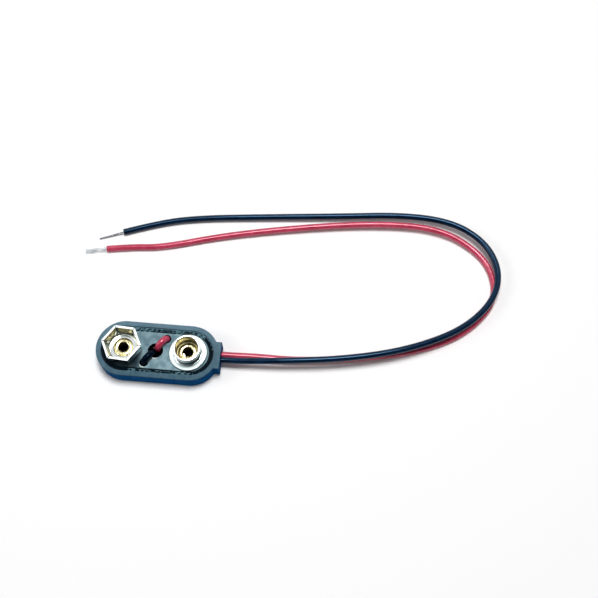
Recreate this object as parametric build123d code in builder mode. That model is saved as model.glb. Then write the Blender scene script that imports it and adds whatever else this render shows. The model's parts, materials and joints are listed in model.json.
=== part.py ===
from build123d import *

import math
import os

# Battery snap connector: a moulded casing with a contact plate sealed into it, a six-leaf
# socket, a stud, the two eyelets that rivet them down, and two leads. Millimetres.
# The origin is under the middle of the casing and its exit tab, on the surface it lies on.
# +X runs from the socket to the lead exit, +Z is up.

# Casing: its length and width follow from the terminals that it holds
CASING_HEIGHT = 3.8
END_CLEARANCE = 0.92
SIDE_CLEARANCE = 0.82
LIP_WIDTH = 1.0
FLOOR_THICKNESS = 0.7
LEDGE_WIDTH = 0.5
TAB_PROUD = 0.4
TAB_WIDTH = 5.5
TOP_EDGE_RADIUS = 0.18
BOTTOM_EDGE_RADIUS = 0.3

# Contact plate, sunk inside the casing's lip and heat sealed along its rim
PLATE_THICKNESS = 0.75
PLATE_SINK = 0.3
PLATE_CLEARANCE = 0.03
SEAL_BAND_WIDTH = 0.85
SEAL_BAND_DEPTH = 0.22
SEAL_BEAD_WIDTH = 0.3
SEAL_BEAD_HEIGHT = 0.14
SEAL_BEAD_INSET = 0.27

# Terminals
TERMINAL_PITCH = 12.7
TERMINAL_SHIFT = -0.24
SHEET_THICKNESS = 0.4

# Socket: six leaves folded up from a round dished base, pinched in at half height, trimmed level
SOCKET_ACROSS_FLATS = 6.8
SOCKET_HEIGHT = 3.02
SOCKET_TURN = -3.4
SOCKET_BASE_RADIUS = 2.9
LEAF_COUNT = 6
LEAF_GAP = 0.16
LEAF_FOOT_INSET = 0.12
LEAF_PINCH_INSET = 0.27
LEAF_PINCH_HEIGHT = 1.5
LEAF_FOOT_RADIUS = 0.35
DISH_EDGE_RADIUS = 0.34
LEAF_PINCH_RADIUS = 1.6

# Stud: a drawn hollow post on a flange
FLANGE_RADIUS = 3.78
FLANGE_THICKNESS = 0.45
STUD_HEIGHT = 3.1
STUD_HEAD_RADIUS = 2.7
STUD_NECK_RADIUS = 2.5
STUD_BORE_RADIUS = 2.22
STUD_ROOT_RADIUS = 0.22
STUD_RIM_RADIUS = 0.2
HEAD_LAND_LENGTH = 0.7
HEAD_TAPER_LENGTH = 0.45

# Eyelets
EYELET_BORE_RADIUS = 1.0
EYELET_WALL = 0.24
EYELET_CLEARANCE = 0.03
EYELET_HEAD_RADIUS = 1.95
EYELET_HEAD_HEIGHT = 0.24
EYELET_HEAD_EDGE = 0.12
EYELET_TAIL_RADIUS = 1.78
EYELET_TAIL_HEIGHT = 0.35
EYELET_TAIL_EDGE = 0.1
PETAL_COUNT = 8
PETAL_SLIT = 0.14

# Strain relief: one hole between two smaller ones, on a slant across the plate
RELIEF_HOLE_RADIUS = 1.5
RELIEF_SIDE_RADIUS = 0.88
RELIEF_STEP_X = 1.9
RELIEF_MARGIN = 0.66
RELIEF_SHIFT_X = -0.1
RELIEF_LEG_OFFSET = 0.7
RED_HUMP_HEIGHT = 0.95
BLACK_HUMP_HEIGHT = 0.85

# Leads
LEAD_DIAMETER = 1.3
EXIT_CLEARANCE = 0.03
EXIT_HOLD = 0.4
STRAND_DIAMETER = 0.127
STRANDS_AROUND_CORE = 6
STRAND_CLEARANCE = 0.004
CONDUCTOR_DIAMETER = 0.38
CONDUCTOR_REACH = 1.5
RED_STRAND_SPREAD = 2.6
BLACK_STRAND_SPREAD = 1.0
LEG_BEND_RADIUS = 0.9
LANE_CLEARANCE = 0.35
STRIPPED_FROM_AXIS = 2.65
SOLDER_RADIUS = 0.6
ARC_SHARE = 0.45

# Sizes and places that follow from them
CASING_LENGTH = TERMINAL_PITCH + 2 * (FLANGE_RADIUS + END_CLEARANCE + LIP_WIDTH)
CASING_WIDTH = 2 * (FLANGE_RADIUS + SIDE_CLEARANCE + LIP_WIDTH)
OVERALL_LENGTH = CASING_LENGTH + TAB_PROUD
TAB_FACE_X = OVERALL_LENGTH / 2
CASING_X = -TAB_PROUD / 2
TERMINALS_X = CASING_X + TERMINAL_SHIFT
SOCKET_X = TERMINALS_X - TERMINAL_PITCH / 2
STUD_X = TERMINALS_X + TERMINAL_PITCH / 2
PLATE_TOP = CASING_HEIGHT - PLATE_SINK
PLATE_UNDER = PLATE_TOP - PLATE_THICKNESS
RECESS_LENGTH = CASING_LENGTH - 2 * LIP_WIDTH
RECESS_WIDTH = CASING_WIDTH - 2 * LIP_WIDTH
HOLLOW_END_X = CASING_X + RECESS_LENGTH / 2 - LEDGE_WIDTH
HOLLOW_HALF_WIDTH = RECESS_WIDTH / 2 - LEDGE_WIDTH
LEAD_RADIUS = LEAD_DIAMETER / 2
LANE_Y = HOLLOW_HALF_WIDTH - LEAD_RADIUS - LANE_CLEARANCE
EYELET_RADIUS = EYELET_BORE_RADIUS + EYELET_WALL
EYELET_HOLE_RADIUS = EYELET_RADIUS + EYELET_CLEARANCE
TAIL_UNDER = PLATE_UNDER - EYELET_TAIL_HEIGHT
RELIEF_X = TERMINALS_X + RELIEF_SHIFT_X
RELIEF_STEP_Y = HOLLOW_HALF_WIDTH - RELIEF_SIDE_RADIUS - RELIEF_MARGIN
RELIEF_SPAN = math.hypot(RELIEF_STEP_X, RELIEF_STEP_Y)
HUMP_BEND_RADIUS = ARC_SHARE * (RELIEF_SPAN - RELIEF_LEG_OFFSET)
LEG_X = RELIEF_LEG_OFFSET * RELIEF_STEP_X / RELIEF_SPAN
LEG_Y = RELIEF_LEG_OFFSET * RELIEF_STEP_Y / RELIEF_SPAN

# Where each lead leaves the casing: the black one lies above and beside the red one
RED_EXIT = (0.91, 1.40)
BLACK_EXIT = (-0.40, 2.08)

# The leads' routes outside the casing, from just inside the exit to where the insulation ends
RED_ROUTE = [
    (TAB_FACE_X - EXIT_HOLD, RED_EXIT[0], RED_EXIT[1]),
    (14.3, RED_EXIT[0], RED_EXIT[1]),
    (19.1, 1.07, 1.36),
    (26.6, 0.96, 1.47),
    (36.2, 1.8, 1.66),
    (45.2, 3.42, 1.65),
    (53.1, 5.98, 1.36),
    (59.8, 9.7, 0.95),
    (64.6, 14.75, 0.66),
    (66.15, 18.8, 0.66),
    (65.7, 22.55, 0.66),
    (64.15, 26.1, 0.66),
    (61.1, 29.1, 0.66),
    (56.6, 31.85, 0.66),
    (49.7, 33.3, 0.66),
    (38.0, 32.75, 0.66),
    (24.0, 30.45, 0.66),
    (9.5, 27.35, 0.66),
    (-3.0, 23.6, 0.66),
    (-9.5, 23.15, 0.66),
    (-14.35, 22.3, 0.66),
]
BLACK_ROUTE = [
    (TAB_FACE_X - EXIT_HOLD, BLACK_EXIT[0], BLACK_EXIT[1]),
    (14.3, BLACK_EXIT[0], BLACK_EXIT[1]),
    (18.6, -0.2, 2.3),
    (25.6, 0.2, 2.8),
    (35.2, 1.2, 3.0),
    (44.7, 3.33, 3.0),
    (52.6, 6.18, 2.72),
    (59.3, 9.95, 2.32),
    (64.4, 15.0, 1.98),
    (66.75, 20.3, 1.98),
    (66.25, 25.75, 1.98),
    (63.05, 30.75, 1.6),
    (56.8, 34.4, 0.95),
    (47.0, 35.5, 0.66),
    (33.0, 33.9, 0.66),
    (17.0, 32.4, 0.66),
    (3.0, 30.9, 0.66),
    (-5.0, 28.95, 0.66),
    (-11.5, 26.45, 0.66),
]
RED_STRAND_TIP = (-18.85, 21.55, 0.24)
BLACK_STRAND_TIP = (-16.4, 24.7, 0.22)


def plain_radii(route):
    """One radius for each corner of a route, as large as its two runs allow."""
    radii = []
    for before, corner, after in zip(route, route[1:], route[2:]):
        incoming = Vector(*corner) - Vector(*before)
        outgoing = Vector(*after) - Vector(*corner)
        half_turn = math.radians(incoming.get_angle(outgoing)) / 2
        shorter = min(incoming.length, outgoing.length)
        radii.append(ARC_SHARE * shorter / math.tan(half_turn))
    return radii


def lead_tube(route, radii, radius):
    """A round tube of straight runs joined by tangent arcs."""
    with BuildPart() as tube:
        with BuildLine() as path:
            FilletPolyline(*route, radius=radii)
        centreline = path.wire()
        with BuildSketch(Plane(origin=centreline @ 0, z_dir=centreline % 0)):
            Circle(radius)
        sweep()
    share = tube.part.volume / (math.pi * radius**2 * centreline.length)
    print(f"length {centreline.length:.2f}, volume over section times length {share:.5f}")
    return tube


def save(part, name):
    """Label a finished part and write it as its own file."""
    part.label = name
    export_step(part, f"parts/{name}.step")


os.makedirs("parts", exist_ok=True)

# Casing: a round-ended tub with a lip, a ledge for the plate, a hollow below it and an exit tab
exit_y = RED_EXIT[0] - BLACK_EXIT[0]
exit_z = RED_EXIT[1] - BLACK_EXIT[1]
with BuildPart() as casing:
    with BuildSketch():
        with Locations((CASING_X, 0)):
            SlotOverall(CASING_LENGTH, CASING_WIDTH)
        with Locations((TAB_FACE_X, 0)):
            Rectangle(CASING_WIDTH / 2, TAB_WIDTH, align=(Align.MAX, Align.CENTER))
    extrude(amount=CASING_HEIGHT)
    outer_top = casing.faces().sort_by(Axis.Z)[-1].edges()
    fillet(outer_top, TOP_EDGE_RADIUS)
    outer_bottom = casing.faces().sort_by(Axis.Z)[0].edges()
    fillet(outer_bottom, BOTTOM_EDGE_RADIUS)
    with BuildSketch(Plane.XY.offset(PLATE_UNDER)):
        with Locations((CASING_X, 0)):
            SlotOverall(RECESS_LENGTH, RECESS_WIDTH)
    extrude(amount=CASING_HEIGHT - PLATE_UNDER, mode=Mode.SUBTRACT)
    with BuildSketch(Plane.XY.offset(FLOOR_THICKNESS)):
        with Locations((CASING_X, 0)):
            SlotOverall(RECESS_LENGTH - 2 * LEDGE_WIDTH, RECESS_WIDTH - 2 * LEDGE_WIDTH)
    extrude(amount=PLATE_UNDER - FLOOR_THICKNESS, mode=Mode.SUBTRACT)
    lip_inner = casing.faces().sort_by(Axis.Z)[-1].inner_wires()[0].edges()
    fillet(lip_inner, TOP_EDGE_RADIUS)
    with BuildSketch(Plane.YZ.offset(TAB_FACE_X)):
        with Locations(((RED_EXIT[0] + BLACK_EXIT[0]) / 2, (RED_EXIT[1] + BLACK_EXIT[1]) / 2)):
            SlotCenterToCenter(
                math.hypot(exit_y, exit_z),
                LEAD_DIAMETER + 2 * EXIT_CLEARANCE,
                rotation=math.degrees(math.atan2(exit_z, exit_y)),
            )
    extrude(amount=-(TAB_PROUD + LIP_WIDTH + 2 * LEDGE_WIDTH), mode=Mode.SUBTRACT)
save(casing.part, "casing")

# Contact plate: flat sheet with a pressed seal band and bead, eyelet holes and relief holes
band_top = PLATE_TOP - SEAL_BAND_DEPTH
plate_length = RECESS_LENGTH - 2 * PLATE_CLEARANCE
plate_width = RECESS_WIDTH - 2 * PLATE_CLEARANCE
bead_outset = 2 * (SEAL_BEAD_INSET + SEAL_BEAD_WIDTH)
with BuildPart() as contact_plate:
    with BuildSketch(Plane.XY.offset(PLATE_UNDER)):
        with Locations((CASING_X, 0)):
            SlotOverall(plate_length, plate_width)
    extrude(amount=band_top - PLATE_UNDER)
    with BuildSketch(Plane.XY.offset(band_top)):
        with Locations((CASING_X, 0)):
            SlotOverall(plate_length - 2 * SEAL_BAND_WIDTH, plate_width - 2 * SEAL_BAND_WIDTH)
    extrude(amount=SEAL_BAND_DEPTH)
    with BuildSketch(Plane.XY.offset(band_top)):
        with Locations((CASING_X, 0)):
            SlotOverall(plate_length - 2 * SEAL_BEAD_INSET, plate_width - 2 * SEAL_BEAD_INSET)
            SlotOverall(plate_length - bead_outset, plate_width - bead_outset, mode=Mode.SUBTRACT)
    extrude(amount=SEAL_BEAD_HEIGHT)
    with Locations((SOCKET_X, 0, PLATE_TOP), (STUD_X, 0, PLATE_TOP)):
        Hole(EYELET_HOLE_RADIUS)
    with Locations((RELIEF_X, 0, PLATE_TOP)):
        Hole(RELIEF_HOLE_RADIUS)
    with Locations(
        (RELIEF_X + RELIEF_STEP_X, RELIEF_STEP_Y, PLATE_TOP),
        (RELIEF_X - RELIEF_STEP_X, -RELIEF_STEP_Y, PLATE_TOP),
    ):
        Hole(RELIEF_SIDE_RADIUS)
save(contact_plate.part, "contact_plate")

# Socket leaf: a bent strip along +X, mitred against its neighbours, used six times
leaf_middle = SOCKET_ACROSS_FLATS / 2 - SHEET_THICKNESS / 2
foot_z = PLATE_TOP + SHEET_THICKNESS / 2
mitre_start = LEAF_GAP / 2 / math.sin(math.pi / LEAF_COUNT)
mitre_reach = SOCKET_ACROSS_FLATS
mitre_half = (mitre_reach - mitre_start) * math.tan(math.pi / LEAF_COUNT)
leaf_lean = LEAF_PINCH_INSET / (SOCKET_HEIGHT - SHEET_THICKNESS / 2 - LEAF_PINCH_HEIGHT)
with BuildPart() as leaf:
    with BuildSketch(Plane.XZ):
        with BuildLine():
            FilletPolyline(
                (SOCKET_BASE_RADIUS / 2, foot_z),
                (leaf_middle - LEAF_FOOT_INSET, foot_z),
                (leaf_middle - LEAF_PINCH_INSET, foot_z + LEAF_PINCH_HEIGHT),
                (
                    leaf_middle + leaf_lean * SHEET_THICKNESS,
                    PLATE_TOP + SOCKET_HEIGHT + SHEET_THICKNESS,
                ),
                radius=[LEAF_FOOT_RADIUS, LEAF_PINCH_RADIUS],
            )
        trace(line_width=SHEET_THICKNESS)
    extrude(amount=SOCKET_ACROSS_FLATS / 2, both=True)
    with BuildSketch(Plane.XY):
        with BuildLine():
            Polyline(
                (mitre_start, 0),
                (mitre_reach, mitre_half),
                (mitre_reach, -mitre_half),
                close=True,
            )
        make_face()
    extrude(amount=PLATE_TOP + SOCKET_HEIGHT, mode=Mode.INTERSECT)

dish_top = PLATE_TOP + SHEET_THICKNESS
dish_radius = leaf_middle - LEAF_FOOT_INSET - SHEET_THICKNESS / 2
dish_floor_radius = dish_radius - DISH_EDGE_RADIUS
dish_rim_radius = dish_radius + SHEET_THICKNESS / 4
with BuildPart() as socket_shell:
    with BuildSketch(Plane.XY.offset(PLATE_TOP)):
        with Locations((SOCKET_X, 0)):
            Circle(SOCKET_BASE_RADIUS)
    extrude(amount=SHEET_THICKNESS)
    with Locations((SOCKET_X, 0, 0)):
        with PolarLocations(0, LEAF_COUNT, start_angle=180 / LEAF_COUNT + SOCKET_TURN):
            add(leaf.part)
    with BuildSketch(Plane.XZ):
        with BuildLine():
            RadiusArc(
                (SOCKET_X + dish_floor_radius, dish_top),
                (SOCKET_X + dish_radius, dish_top + DISH_EDGE_RADIUS),
                -DISH_EDGE_RADIUS,
            )
            Polyline(
                (SOCKET_X + dish_radius, dish_top + DISH_EDGE_RADIUS),
                (SOCKET_X + dish_rim_radius, dish_top + DISH_EDGE_RADIUS),
                (SOCKET_X + dish_rim_radius, foot_z),
                (SOCKET_X + dish_floor_radius, foot_z),
                (SOCKET_X + dish_floor_radius, dish_top),
            )
        make_face()
    revolve(axis=Axis((SOCKET_X, 0, 0), (0, 0, 1)))
    with Locations((SOCKET_X, 0, PLATE_TOP)):
        Hole(EYELET_HOLE_RADIUS)
save(socket_shell.part, "socket_shell")

# Stud shell: one drawn profile turned about the stud's axis
stud_axis = Axis((STUD_X, 0, 0), (0, 0, 1))
flange_top = PLATE_TOP + FLANGE_THICKNESS
stud_top = PLATE_TOP + STUD_HEIGHT
land_top = stud_top - STUD_RIM_RADIUS
land_foot = land_top - HEAD_LAND_LENGTH
with BuildPart() as stud_shell:
    with BuildSketch(Plane.XZ):
        with BuildLine():
            Polyline(
                (STUD_X + EYELET_HOLE_RADIUS, PLATE_TOP),
                (STUD_X + FLANGE_RADIUS, PLATE_TOP),
                (STUD_X + FLANGE_RADIUS, flange_top),
                (STUD_X + STUD_NECK_RADIUS, flange_top),
                (STUD_X + STUD_NECK_RADIUS, land_foot - HEAD_TAPER_LENGTH),
                (STUD_X + STUD_HEAD_RADIUS, land_foot),
                (STUD_X + STUD_HEAD_RADIUS, stud_top),
                (STUD_X + STUD_BORE_RADIUS, stud_top),
                (STUD_X + STUD_BORE_RADIUS, flange_top),
                (STUD_X + EYELET_HOLE_RADIUS, flange_top),
                close=True,
            )
        make_face()
    revolve(axis=stud_axis)
    rim_edges = stud_shell.edges().filter_by(GeomType.CIRCLE).group_by(Axis.Z)[-1]
    fillet(rim_edges, STUD_RIM_RADIUS)
    flange_level = stud_shell.edges().filter_by(GeomType.CIRCLE).filter_by(
        lambda edge: abs(edge.center().Z - flange_top) < EYELET_CLEARANCE
    )
    by_radius = flange_level.sort_by(SortBy.RADIUS)
    fillet(by_radius[-1], FLANGE_THICKNESS / 2)
    fillet(by_radius[1:-1], STUD_ROOT_RADIUS)
save(stud_shell.part, "stud_shell")


def eyelet(centre_x, seat_z):
    """A hollow brass rivet: slit head on the terminal's floor, tail set under the plate."""
    outline = [
        (EYELET_BORE_RADIUS, TAIL_UNDER),
        (EYELET_TAIL_RADIUS - EYELET_TAIL_EDGE, TAIL_UNDER),
        (EYELET_TAIL_RADIUS, TAIL_UNDER + EYELET_TAIL_EDGE),
        (EYELET_TAIL_RADIUS, PLATE_UNDER),
        (EYELET_RADIUS, PLATE_UNDER),
        (EYELET_RADIUS, seat_z),
        (EYELET_HEAD_RADIUS, seat_z),
        (EYELET_HEAD_RADIUS, seat_z + EYELET_HEAD_EDGE),
        (EYELET_RADIUS, seat_z + EYELET_HEAD_HEIGHT),
        (EYELET_BORE_RADIUS, seat_z + EYELET_HEAD_EDGE),
    ]
    slit_middle = (EYELET_RADIUS + EYELET_HEAD_RADIUS) / 2
    with BuildPart() as rivet:
        with BuildSketch(Plane.XZ):
            with BuildLine():
                Polyline(*[(centre_x + radius, height) for radius, height in outline], close=True)
            make_face()
        revolve(axis=Axis((centre_x, 0, 0), (0, 0, 1)))
        with BuildSketch(Plane.XY.offset(seat_z)):
            with Locations((centre_x, 0)):
                with PolarLocations(slit_middle, PETAL_COUNT):
                    Rectangle(EYELET_HEAD_RADIUS - EYELET_RADIUS + EYELET_HEAD_EDGE, PETAL_SLIT)
        extrude(amount=EYELET_HEAD_HEIGHT, mode=Mode.SUBTRACT)
    return rivet


socket_rivet = eyelet(SOCKET_X, PLATE_TOP + SHEET_THICKNESS)
save(socket_rivet.part, "socket_rivet")
stud_rivet = eyelet(STUD_X, flange_top)
save(stud_rivet.part, "stud_rivet")

# The stretch of each lead that the casing holds: in at the exit, under the plate, up through a
# small hole, over, down through the middle hole and on to its terminal
RED_HUMP_Z = PLATE_TOP + RED_HUMP_HEIGHT
BLACK_HUMP_Z = PLATE_TOP + BLACK_HUMP_HEIGHT
red_held = [
    RED_ROUTE[0],
    (HOLLOW_END_X - 0.75, RED_EXIT[0], RED_EXIT[1]),
    (HOLLOW_END_X - 2.95, LANE_Y - 0.25, 1.42),
    (3.6, LANE_Y - 0.1, 1.45),
    (RELIEF_X + RELIEF_STEP_X, RELIEF_STEP_Y, 1.45),
    (RELIEF_X + RELIEF_STEP_X, RELIEF_STEP_Y, RED_HUMP_Z),
    (RELIEF_X + LEG_X, LEG_Y, RED_HUMP_Z),
    (RELIEF_X + LEG_X, LEG_Y, 1.55),
    (RELIEF_X + LEG_X - 1.9, LEG_Y + 0.92, 1.6),
    (SOCKET_X + STRIPPED_FROM_AXIS, 0.9, 1.95),
]
black_held = [
    BLACK_ROUTE[0],
    (HOLLOW_END_X - 0.95, BLACK_EXIT[0], BLACK_EXIT[1]),
    (HOLLOW_END_X - 2.75, 0.25 - LANE_Y, 1.9),
    (1.2, -LANE_Y, 1.6),
    (RELIEF_X - RELIEF_STEP_X, -RELIEF_STEP_Y, 1.5),
    (RELIEF_X - RELIEF_STEP_X, -RELIEF_STEP_Y, BLACK_HUMP_Z),
    (RELIEF_X - LEG_X, -LEG_Y, BLACK_HUMP_Z),
    (RELIEF_X - LEG_X, -LEG_Y, 1.55),
    (RELIEF_X - LEG_X + 1.9, -LEG_Y - 0.92, 1.6),
    (STUD_X - STRIPPED_FROM_AXIS, -0.8, 1.95),
]
HUMP_RADII = [LEG_BEND_RADIUS, HUMP_BEND_RADIUS, HUMP_BEND_RADIUS, LEG_BEND_RADIUS]
HELD_RADII = [1.8, 1.8, 1.2, *HUMP_RADII, 1.0]
red_lead_anchor = lead_tube(red_held, HELD_RADII, LEAD_RADIUS)
save(red_lead_anchor.part, "red_lead_anchor")
black_lead_anchor = lead_tube(black_held, HELD_RADII, LEAD_RADIUS)
save(black_lead_anchor.part, "black_lead_anchor")


def inner_conductor(held):
    """The stripped end inside: straight on from the insulation to below the eyelet's tail."""
    with BuildPart() as conductor:
        with BuildSketch(Plane(origin=held[-1], z_dir=Vector(*held[-1]) - Vector(*held[-2]))):
            Circle(CONDUCTOR_DIAMETER / 2)
        extrude(amount=CONDUCTOR_REACH)
    return conductor


def solder_blob(held, conductor):
    """Solder between the conductor's end and the flat underside of the eyelet's tail."""
    reach = (Vector(*held[-1]) - Vector(*held[-2])).normalized() * CONDUCTOR_REACH
    conductor_tip = Vector(*held[-1]) + reach
    with BuildPart() as blob:
        with Locations((conductor_tip.X, conductor_tip.Y, TAIL_UNDER)):
            Sphere(SOLDER_RADIUS)
        split(bisect_by=Plane.XY.offset(TAIL_UNDER), keep=Keep.BOTTOM)
        add(conductor.part, mode=Mode.SUBTRACT)
    return blob


red_inner_conductor = inner_conductor(red_held)
save(red_inner_conductor.part, "red_inner_conductor")
black_inner_conductor = inner_conductor(black_held)
save(black_inner_conductor.part, "black_inner_conductor")
socket_solder = solder_blob(red_held, red_inner_conductor)
save(socket_solder.part, "socket_solder")
stud_solder = solder_blob(black_held, black_inner_conductor)
save(stud_solder.part, "stud_solder")

# The free leads, which lie on the surface: the black one rides over the red one round the bend
for name, route in (("red_lead", RED_ROUTE), ("black_lead", BLACK_ROUTE)):
    radii = plain_radii(route)
    print(name, "radii", [round(radius, 1) for radius in radii])
    lead = lead_tube(route, radii, LEAD_RADIUS)
    save(lead.part, name)


def bare_strands(route, tip, spread):
    """Seven straight strands from the insulation's end face, fanned sideways by the spread."""
    foot = Vector(*route[-1])
    end_face = Plane(origin=foot, z_dir=foot - Vector(*route[-2]))
    along = Vector(*tip) - foot
    base = Plane(origin=foot, z_dir=along, x_dir=Vector(0, 0, 1).cross(along))
    ring = STRAND_DIAMETER + STRAND_CLEARANCE
    with BuildPart() as strands:
        for turn in range(STRANDS_AROUND_CORE + 1):
            step = 0 if turn == STRANDS_AROUND_CORE else ring
            angle = 2 * math.pi * turn / STRANDS_AROUND_CORE
            side, rise = step * math.cos(angle), step * math.sin(angle)
            start = base.from_local_coords(Vector(side, rise, -STRAND_DIAMETER))
            end = base.from_local_coords(Vector(side * spread, rise, along.length))
            with BuildSketch(Plane(origin=start, z_dir=end - start)):
                Circle(STRAND_DIAMETER / 2)
            extrude(amount=(end - start).length)
        split(bisect_by=end_face)
    return strands


red_conductor_end = bare_strands(RED_ROUTE, RED_STRAND_TIP, RED_STRAND_SPREAD)
save(red_conductor_end.part, "red_conductor_end")
black_conductor_end = bare_strands(BLACK_ROUTE, BLACK_STRAND_TIP, BLACK_STRAND_SPREAD)
save(black_conductor_end.part, "black_conductor_end")
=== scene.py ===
"""The looks of a battery snap connector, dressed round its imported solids."""

import json
import logging
import math
from dataclasses import dataclass, field, replace
from enum import Enum

import bpy
from bpy.types import Curve, Material, Mesh, Node, NodeSocket, NodeTree, Object
from mathutils import Matrix, Vector, noise

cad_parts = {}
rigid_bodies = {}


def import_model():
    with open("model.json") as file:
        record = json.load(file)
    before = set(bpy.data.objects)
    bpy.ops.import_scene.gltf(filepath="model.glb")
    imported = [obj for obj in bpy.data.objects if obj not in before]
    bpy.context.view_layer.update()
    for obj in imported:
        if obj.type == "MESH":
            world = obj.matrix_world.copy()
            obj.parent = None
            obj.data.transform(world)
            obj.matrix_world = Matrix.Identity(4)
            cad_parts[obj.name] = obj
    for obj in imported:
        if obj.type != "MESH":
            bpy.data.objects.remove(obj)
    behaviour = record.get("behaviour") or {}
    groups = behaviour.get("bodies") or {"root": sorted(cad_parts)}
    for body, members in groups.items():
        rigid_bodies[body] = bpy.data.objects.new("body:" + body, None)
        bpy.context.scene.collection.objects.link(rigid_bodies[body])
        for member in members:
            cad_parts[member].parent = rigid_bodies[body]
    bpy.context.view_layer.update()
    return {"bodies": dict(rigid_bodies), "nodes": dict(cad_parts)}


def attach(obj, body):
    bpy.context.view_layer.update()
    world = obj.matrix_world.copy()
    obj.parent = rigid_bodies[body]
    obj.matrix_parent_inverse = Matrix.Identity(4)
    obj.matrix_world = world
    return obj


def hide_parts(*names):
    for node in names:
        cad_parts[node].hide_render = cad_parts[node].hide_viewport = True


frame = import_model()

LOG = logging.getLogger("snap_connector")

MM = 0.001
ROOT_BODY = "root"
SMOOTH_ANGLE = math.radians(32)
WHITE_HEX = "#FFFFFF"

# How a smooth ramp, a whole bump and a mix of two colours are set
SMOOTH_STEP = {"interpolation_type": "SMOOTHSTEP"}
FULL_BUMP = {"Strength": 1.0}
COLOUR_MIX = {"data_type": "RGBA"}
# The places of a mix node's inputs, and of its colour among its outputs
SHARE, VALUE_A, VALUE_B, COLOUR_A, COLOUR_B = 0, 2, 3, 6, 7
COLOUR_OUT = 2

SOCKET_X_MM = -6.79
STUD_X_MM = 5.91

Colour = tuple[float, float, float, float]
Point = tuple[float, float, float]
Mark = tuple[NodeSocket, str, float | None]


def linear(code: str) -> Colour:
    """Turns an sRGB hex code into a linear colour.

    Args:
        code: Six hex digits after a hash mark.

    Returns:
        Red, green, blue and alpha, ready for a socket.
    """
    shares = [int(code[place : place + 2], 16) / 255 for place in (1, 3, 5)]
    red, green, blue = (
        share / 12.92 if share <= 0.04045 else ((share + 0.055) / 1.055) ** 2.4 for share in shares
    )
    return red, green, blue, 1.0


def per_metre(size_mm: float) -> float:
    """Returns the texture scale at which one feature measures size_mm."""
    return 1 / (size_mm * MM)


def metres(points_mm: list[Point]) -> list[Vector]:
    """Returns a route given in millimetres as vectors in metres."""
    return [Vector(point) * MM for point in points_mm]


def add_node(
    tree: NodeTree,
    kind: str,
    settings: dict[str, object] | None = None,
    inputs: dict[str | int, object] | None = None,
) -> Node:
    """Adds one node, with its settings, values and links.

    Args:
        tree: The node tree that the node joins.
        kind: The node's type name.
        settings: Attributes of the node and their values.
        inputs: Input sockets by name or number. A socket as the value is linked, and anything
            else is set.

    Returns:
        The new node.
    """
    node = tree.nodes.new(kind)
    for name, value in (settings or {}).items():
        setattr(node, name, value)
    for name, value in (inputs or {}).items():
        if isinstance(value, NodeSocket):
            tree.links.new(value, node.inputs[name])
        else:
            node.inputs[name].default_value = value
    return node


class Slot(Enum):
    """The record's material slots of the pieces that are built here."""

    PLATE = "plate_vinyl"
    BRASS = "rivet_brass"
    RED = "red_insulation"
    BLACK = "black_insulation"
    TINNED = "tinned_copper"


@dataclass(frozen=True)
class Finish:
    """What every finish shares: a name and the sizes of its mottle and of its fine grain."""

    name: str
    mottle_mm: float
    grain_mm: float
    grain_depth_mm: float
    mottle_from: float = 0.36
    mottle_to: float = 0.64
    mottle_detail: float = 4.0
    mottle_roughness: float = 0.6
    grain_detail: float = 3.0

    def material(self) -> Material:
        """Builds the material.

        Returns:
            The finished material.
        """
        material = bpy.data.materials.new(self.name)
        material.use_nodes = True
        tree = material.node_tree
        tree.nodes.clear()
        shader = self.surface(tree, add_node(tree, "ShaderNodeTexCoord").outputs["Object"])
        add_node(tree, "ShaderNodeOutputMaterial", inputs={"Surface": shader.outputs[0]})
        return material

    def surface(self, tree: NodeTree, place: NodeSocket) -> Node:
        """Builds the shader, each kind of finish in its own way.

        Args:
            tree: The material's node tree.
            place: The coordinates that stay with the object.

        Returns:
            The shader.
        """
        raise NotImplementedError

    def above(self, tree: NodeTree, place: NodeSocket, from_mm: float, fully_mm: float) -> NodeSocket:
        """Tells what lies above a height.

        Args:
            tree: The material's node tree.
            place: The object's coordinates.
            from_mm: The height where the value starts to rise from 0.
            fully_mm: The height where it reaches 1.

        Returns:
            The value, which rises smoothly.
        """
        height = add_node(tree, "ShaderNodeSeparateXYZ", inputs={"Vector": place}).outputs["Z"]
        return add_node(
            tree,
            "ShaderNodeMapRange",
            SMOOTH_STEP,
            {"Value": height, "From Min": from_mm * MM, "From Max": fully_mm * MM},
        ).outputs["Result"]

    def mottle(self, tree: NodeTree, place: NodeSocket) -> NodeSocket:
        """Makes a soft uneven value of the finish's mottle size.

        Args:
            tree: The material's node tree.
            place: The object's coordinates.

        Returns:
            A value from 0 to 1.
        """
        texture = add_node(
            tree,
            "ShaderNodeTexNoise",
            inputs={
                "Vector": place,
                "Scale": per_metre(self.mottle_mm),
                "Detail": self.mottle_detail,
                "Roughness": self.mottle_roughness,
            },
        )
        return add_node(
            tree,
            "ShaderNodeMapRange",
            inputs={
                "Value": texture.outputs["Fac"],
                "From Min": self.mottle_from,
                "From Max": self.mottle_to,
            },
        ).outputs["Result"]

    def grain(self, tree: NodeTree, place: NodeSocket) -> NodeSocket:
        """Bumps the surface with the fine grain.

        Args:
            tree: The material's node tree.
            place: The object's coordinates.

        Returns:
            The bumped normal.
        """
        texture = add_node(
            tree,
            "ShaderNodeTexNoise",
            inputs={"Vector": place, "Scale": per_metre(self.grain_mm), "Detail": self.grain_detail},
        )
        return add_node(
            tree,
            "ShaderNodeBump",
            inputs={"Height": texture.outputs["Fac"], "Distance": self.grain_depth_mm * MM, **FULL_BUMP},
        ).outputs["Normal"]


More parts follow.
